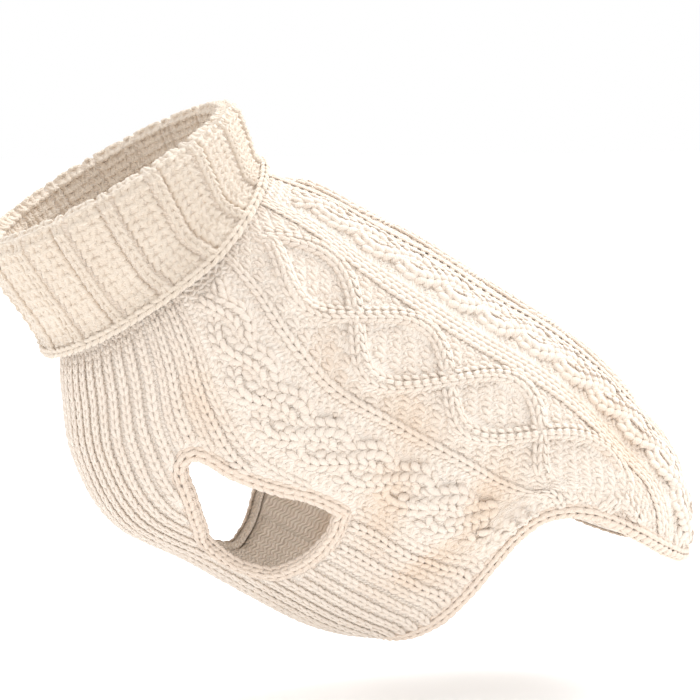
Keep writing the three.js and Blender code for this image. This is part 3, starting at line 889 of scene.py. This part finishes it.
def strand_column(cable, side, half, x):
    """A column of knit stitches on a cable's strand, at x from -1 to 1 across it, in one half of the back."""
    ring = RING_SAMPLES
    place = cable.place * cable.across + side * cable.sway + x * cable.strand
    fraction = half * place / cable.across
    calm = calm_back(fraction, ring)
    height = np.maximum(cable.arch(side, x, cable.cross), 0) * calm
    angle = back_angle(fraction, ring)
    points = cloth(angle, ring, height + YARN_LIFT)
    around, _, normal, _, _ = frame_at(angle, ring)
    lean = 2 * cable.height * x / cable.strand * calm * half
    out = unit(normal + around * lean[:, None])
    beside = x * cable.strand + 2 * side * cable.sway
    hand = side if cable.place else half
    reach = (LATTICE_HIDES if cable.lattice else ROPE_HIDES) * cable.strand
    hidden = (np.abs(beside) < reach) & (hand * np.sin(cable.cross) < 0)
    drop = hidden | ~cable_shows(fraction, ring) | (np.abs(fraction) > 0.97) | in_leg(angle, ring)
    laid = places_along(points, out, cable.strand * 1.02, COURSE * 1.05, closed=False)
    nearest = np.linalg.norm(points[None] - laid.at[:, None], axis=-1).argmin(1)
    laid.along *= -1
    return laid.only(~drop[nearest])


def back_cables():
    places = None
    for cable in CABLE_SET:
        for half in (-1, 1):
            for side in ((1,) if cable.place == 0 else (-1, 1)):
                for x in STRAND_COLUMNS:
                    column = strand_column(cable, side, half, x)
                    places = column if places is None else places + column
    return places


def breast_ribs():
    u, v, _, _ = BREAST.grid(0.5)
    return places_on(BREAST.point_at, u, v, purl=False, spread=0.8)


def breast_hollows():
    u, v, fraction, _ = BREAST.grid(0.0)
    inner = np.abs(fraction) < 0.99
    return places_on(BREAST.point_at, u[inner], v[inner], purl=True, spread=0.5)


# Stitches of the collar

COLLAR_AT = np.linspace(0, len(COLLAR_FACE) - 1, 300)
COLLAR_RUN = collar_point(np.full(COLLAR_AT.shape, math.pi / 2), row_at(COLLAR_FACE, COLLAR_AT))
COLLAR_ALONG = np.concatenate([[0], np.cumsum(np.linalg.norm(np.diff(COLLAR_RUN, axis=0), axis=-1))])


def collar_surface(u, v):
    """A point of the collar's face: u counts its ribs, v courses from the lower edge over the fold."""
    row = row_at(COLLAR_FACE, np.interp(v * COURSE, COLLAR_ALONG, COLLAR_AT))
    return collar_point(2 * math.pi * np.asarray(u) / COLLAR_RIBS, row, YARN_LIFT)


def collar_grid(shifts):
    """The collar's stitches at the given parts of every rib, in every course."""
    courses = np.arange(1.4, COLLAR_ALONG[-1] / COURSE - 0.4)
    columns = (np.arange(COLLAR_RIBS)[:, None] + np.array(shifts)).ravel()
    u, v = np.meshgrid(columns, courses, indexing="ij")
    return u.ravel(), v.ravel()


CORD_SPREAD = 0.23  # a cord's width and a band stitch's, as parts of a rib
BAND_SPREAD = 0.42
BAND_SHIFTS = (0.35, 0.65)
BAND_OVERLAP = 1.12  # of a band stitch's height on its course
CORD_DEPTH = 1.1
BAND_DEPTH = 1.25


def collar_cords():
    u, v = collar_grid((0.0,))
    places = places_on(collar_surface, u, v, purl=False)
    places.size[:, 0] *= CORD_SPREAD
    places.size[:, 2] = CORD_DEPTH
    return places


def collar_bands():
    u, v = collar_grid(BAND_SHIFTS)
    places = places_on(collar_surface, u, v, purl=False)
    places.size *= (BAND_SPREAD, BAND_OVERLAP, 1)
    places.size[:, 2] = BAND_DEPTH
    return places


def collar_edge():
    """The chain of stitches along the collar's lower edge."""
    angle = np.linspace(0, 2 * math.pi, 360, endpoint=False)
    points = collar_point(angle, row_at(COLLAR_FACE, 1.5), YARN_LIFT)
    out = frame_at(angle, collar_low(angle))[2]
    return places_along(points, out, 4.2, 3.8)


# Materials

def linear(red, green, blue):
    """An on-screen colour from 0 to 255 as Blender's linear one."""
    return (*[((c / 255 + 0.055) / 1.055) ** 2.4 for c in (red, green, blue)], 1.0)


CREAM = linear(236, 224, 211)
CREAM_DEEP = linear(229, 212, 196)
PAINTED_FOLD_SHADE = linear(227, 201, 175)  # painted shade where the worn cloth folds in
COLLAR_CREAM = linear(230, 216, 200)
COLLAR_DEEP = linear(222, 205, 186)


def new_material(name):
    material = bpy.data.materials.new(name)
    material.use_nodes = True
    tree = material.node_tree
    shader = tree.nodes["Principled BSDF"]
    shader.inputs["Roughness"].default_value = 0.92
    shader.inputs["Specular IOR Level"].default_value = 0.2
    shader.inputs["Sheen Weight"].default_value = 0.35
    shader.inputs["Sheen Roughness"].default_value = 0.6
    return material, tree, shader


def mixed(tree, amount, low, high):
    mix = add_node(tree, "ShaderNodeMix", {"Factor": amount}, data_type="RGBA")
    for socket, colour in zip([s for s in mix.inputs if s.type == "RGBA"], (low, high)):
        if isinstance(colour, bpy.types.NodeSocket):
            tree.links.new(colour, socket)
        else:
            socket.default_value = colour
    return next(s for s in mix.outputs if s.type == "RGBA")


def wave(tree, value, rate):
    """A sine of a value, with rate whole waves in each unit."""
    turn = times(tree, value, 2 * math.pi * rate)
    return add_node(tree, "ShaderNodeMath", {0: turn}, operation="SINE").outputs[0]


def noise(tree, place, scale, detail):
    inputs = {"Vector": place, "Scale": scale, "Detail": detail}
    return add_node(tree, "ShaderNodeTexNoise", inputs).outputs[0]


def put_bump(tree, shader, height, strength, distance):
    inputs = {"Height": height, "Strength": strength, "Distance": distance}
    bump = add_node(tree, "ShaderNodeBump", inputs).outputs[0]
    tree.links.new(bump, shader.inputs["Normal"])


def painted_fold_shade(tree):
    """How far the yarn takes the painted shade of the folds, a warmer and deeper cream."""
    sink = add_node(tree, "ShaderNodeAttribute", attribute_name="sink").outputs["Fac"]
    return times(tree, sink, 0.6)


def yarn_material(name, light, deep):
    """Soft spun yarn: a little lighter or deeper from stitch to stitch, with its twist and loose fibres, and
    painted shade in the folds.
    """
    material, tree, shader = new_material(name)
    place = add_node(tree, "ShaderNodeTexCoord").outputs["Object"]
    uv = add_node(tree, "ShaderNodeUVMap", uv_map="UVMap").outputs[0]
    around = add_node(tree, "ShaderNodeSeparateXYZ", {0: uv})
    tone = add_node(tree, "ShaderNodeAttribute", attribute_name="tone").outputs["Fac"]
    patches = noise(tree, place, 45.0, 2.0)
    fibres = noise(tree, place, 1500.0, 3.0)
    mottled = plus(tree, times(tree, patches, 0.5), times(tree, fibres, 0.5))
    amount = plus(tree, times(tree, tone, 0.3), math_node(tree, "SUBTRACT", mottled, 0.2))
    # painted shade: the colour turns to a deeper, warmer cream where the cloth sinks into a fold
    colour = mixed(tree, painted_fold_shade(tree), mixed(tree, amount, light, deep), PAINTED_FOLD_SHADE)
    tree.links.new(colour, shader.inputs["Base Color"])
    spin = plus(tree, times(tree, around.outputs[1], 3.0), around.outputs[0])
    twist = times(tree, wave(tree, spin, 2.0), 0.35)
    put_bump(tree, shader, plus(tree, twist, fibres), 0.5, 0.0004)
    return material


def cloth_material(name, light, deep):
    """The cloth behind the stitches: the same yarn, as rows of small loops over wales and courses, with
    painted shade in the hollows between the loops.
    """
    material, tree, shader = new_material(name)
    place = add_node(tree, "ShaderNodeTexCoord").outputs["Object"]
    uv = add_node(tree, "ShaderNodeUVMap", uv_map="UVMap").outputs[0]
    wale_course = add_node(tree, "ShaderNodeSeparateXYZ", {0: uv})
    patches = noise(tree, place, 60.0, 3.0)
    fibres = noise(tree, place, 1300.0, 3.0)
    lean = times(tree, wave(tree, wale_course.outputs[0], 1.0), 0.14)
    loops = wave(tree, plus(tree, wale_course.outputs[1], lean), 2.0)
    ridges = wave(tree, wale_course.outputs[0], 1.0)
    knitted = plus(tree, loops, times(tree, ridges, 0.6))
    # mottled patches, and painted shade that deepens the colour in the hollows of the loops' bumps
    mottle_and_loop_shade = math_node(tree, "SUBTRACT", times(tree, patches, 0.8), times(tree, knitted, 0.12))
    # painted shade of the folds laid over the cloth's colour
    colour = mixed(tree, painted_fold_shade(tree), mixed(tree, mottle_and_loop_shade, light, deep), PAINTED_FOLD_SHADE)
    tree.links.new(colour, shader.inputs["Base Color"])
    height = plus(tree, times(tree, knitted, 0.5), times(tree, fibres, 0.3))
    put_bump(tree, shader, height, 0.6, 0.0008)
    return material


BODY_YARN = yarn_material("cream_yarn", CREAM, CREAM_DEEP)
COLLAR_YARN = yarn_material("collar_yarn", COLLAR_CREAM, COLLAR_DEEP)
EDGE_YARN = yarn_material("edge_yarn", CREAM_DEEP, linear(231, 212, 194))
# painted light: the cloth between the stitches is a lighter cream than the yarn, to lift the shade that falls
# in the gaps
BODY_CLOTH = cloth_material("cream_cloth", linear(245, 234, 222), linear(238, 224, 209))
COLLAR_CLOTH = cloth_material("collar_cloth", linear(236, 222, 207), linear(228, 211, 193))


# Camera, light and floor

AZIMUTH, ELEVATION = math.radians(-18), math.radians(6)
DISTANCE = 1.1
AIM = Vector((0.020, 0.0, -0.066))
FRAME_SIZE = 0.280  # height of the picture at the aim
FLOOR = -0.206
FLOOR_HALF = 6.0


def make_camera():
    level = math.cos(ELEVATION)
    back = Vector((math.sin(AZIMUTH) * level, -math.cos(AZIMUTH) * level, math.sin(ELEVATION)))
    camera = bpy.data.objects.new("camera", bpy.data.cameras.new("camera"))
    camera.data.sensor_width = 36
    camera.data.lens = 36 * DISTANCE / FRAME_SIZE
    camera.location = AIM + back * DISTANCE
    camera.rotation_euler = back.to_track_quat("Z", "Y").to_euler()
    bpy.context.scene.collection.objects.link(camera)
    bpy.context.scene.camera = camera


def area_light(name, at, size, power, colour):
    light = bpy.data.lights.new(name, "AREA")
    light.size, light.energy, light.color = size, power, colour
    lamp = bpy.data.objects.new(name, light)
    lamp.location = at
    lamp.rotation_euler = (Vector(at) - AIM).to_track_quat("Z", "Y").to_euler()
    bpy.context.scene.collection.objects.link(lamp)


def make_studio():
    world = bpy.data.worlds.new("studio")
    world.use_nodes = True
    world.node_tree.nodes["Background"].inputs[0].default_value = (1.0, 1.0, 1.0, 1.0)
    world.node_tree.nodes["Background"].inputs[1].default_value = 1.0
    bpy.context.scene.world = world
    bpy.context.scene.view_settings.view_transform = "Standard"
    area_light("key", (0.8, 0.35, 1.2), 1.3, 31, (0.96, 0.985, 1.0))
    area_light("fill", (-1.2, -0.5, 0.35), 1.0, 1.0, (1.0, 0.98, 0.96))
    signs = ((-1, -1), (1, -1), (1, 1), (-1, 1))
    corners = [(x * FLOOR_HALF / MM, y * FLOOR_HALF / MM, FLOOR / MM) for x, y in signs]
    floor = new_object("floor", mesh_from("floor", corners, [[0, 1, 2, 3]]))
    material = bpy.data.materials.new("pale_floor")
    material.use_nodes = True
    shader = material.node_tree.nodes["Principled BSDF"]
    shader.inputs["Base Color"].default_value = (0.9, 0.9, 0.9, 1)
    shader.inputs["Emission Color"].default_value = (1, 1, 1, 1)
    shader.inputs["Emission Strength"].default_value = 0.25
    shader.inputs["Roughness"].default_value = 1.0
    shader.inputs["Specular IOR Level"].default_value = 0.0
    floor.data.materials.append(material)


# The sweater

def shell(name, mesh, material, node):
    piece = new_object(name, mesh)
    piece.data.materials.append(material)
    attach(piece, "root")
    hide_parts(node)
    return piece


def stitched(name, places, template, yarn, slot, **uneven):
    piece = knit(name, places, template, yarn, **uneven)
    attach(piece, "root")
    return piece


def panel_shell(name, mesh, node):
    piece = new_object(name, mesh)
    cut_legs(piece)
    corners = np.empty(3 * len(piece.data.vertices), np.float32)
    piece.data.vertices.foreach_get("co", corners)
    store_sink(piece.data, corners.reshape(-1, 3) / MM)
    piece.data.materials.clear()
    piece.data.materials.append(BODY_CLOTH)
    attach(piece, "root")
    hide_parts(node)
    return piece


def edge_chain(binding, side_turn):
    """A binding's chain stitches: on its top, on its free side, and picked up over its seam."""
    chain = places_along(binding.line(math.pi / 2), binding.facing(math.pi / 2), 5.0, 4.0)
    chain += places_along(binding.line(side_turn), binding.facing(side_turn), 4.0, 4.0)
    chain += places_along(binding.line(2.4, 0.6), binding.facing(2.0), 4.0, 4.0)
    return chain


def build():
    back_wall = wall("back_cloth", back_angle, back_relief, *BACK_GRID)
    back_cloth = panel_shell("back_cloth", back_wall, "back_panel")
    breast_wall = wall("breast_cloth", breast_angle, breast_relief, *BREAST_GRID)
    breast_cloth = panel_shell("breast_cloth", breast_wall, "breast_panel")
    collar_cloth = shell("collar_cloth", collar_wall("collar_cloth"), COLLAR_CLOTH, "collar")
    ground, ridges = back_ground()
    left = ground.at[:, 1] < 0
    back_pieces = [
        stitched("back_purls_left", ground.only(left), "purl", BODY_YARN, "knit_body"),
        stitched("back_purls_right", ground.only(~left), "purl", BODY_YARN, "knit_body"),
        stitched("back_ridges", ridges, "knit", BODY_YARN, "knit_body"),
        stitched("back_cables", back_cables(), "knit", BODY_YARN, "knit_body"),
    ]
    breast_pieces = [
        stitched("breast_ribs", breast_ribs(), "knit", BODY_YARN, "knit_body"),
        stitched("breast_hollows", breast_hollows(), "purl", BODY_YARN, "knit_body"),
    ]
    collar_pieces = [
        stitched("collar_cords", collar_cords(), "knit", COLLAR_YARN, "knit_collar"),
        stitched("collar_bands", collar_bands(), "knit", COLLAR_YARN, "knit_collar"),
        stitched("collar_edge", collar_edge(), "knit", COLLAR_YARN, "knit_collar"),
    ]
    hem = hem_binding()
    hem_roll = shell("hem_roll", binding_roll("hem_roll", hem, True), BODY_CLOTH, "hem_binding")
    back_pieces += [hem_roll, stitched("hem_chain", edge_chain(hem, 0.35), "knit", EDGE_YARN, "knit_edge")]
    for side, word in ((1, "left"), (-1, "right")):
        binding = leg_binding(side)
        roll = binding_roll(f"leg_roll_{word}", binding, side < 0)
        roll = shell(f"leg_roll_{word}", roll, BODY_CLOTH, f"leg_binding_{word}")
        chain = edge_chain(binding, 0.3)
        breast_pieces += [roll, stitched(f"leg_chain_{word}", chain, "knit", EDGE_YARN, "knit_edge")]


make_camera()
make_studio()
build()
for template in TEMPLATES.values():
    bpy.data.objects.remove(template)
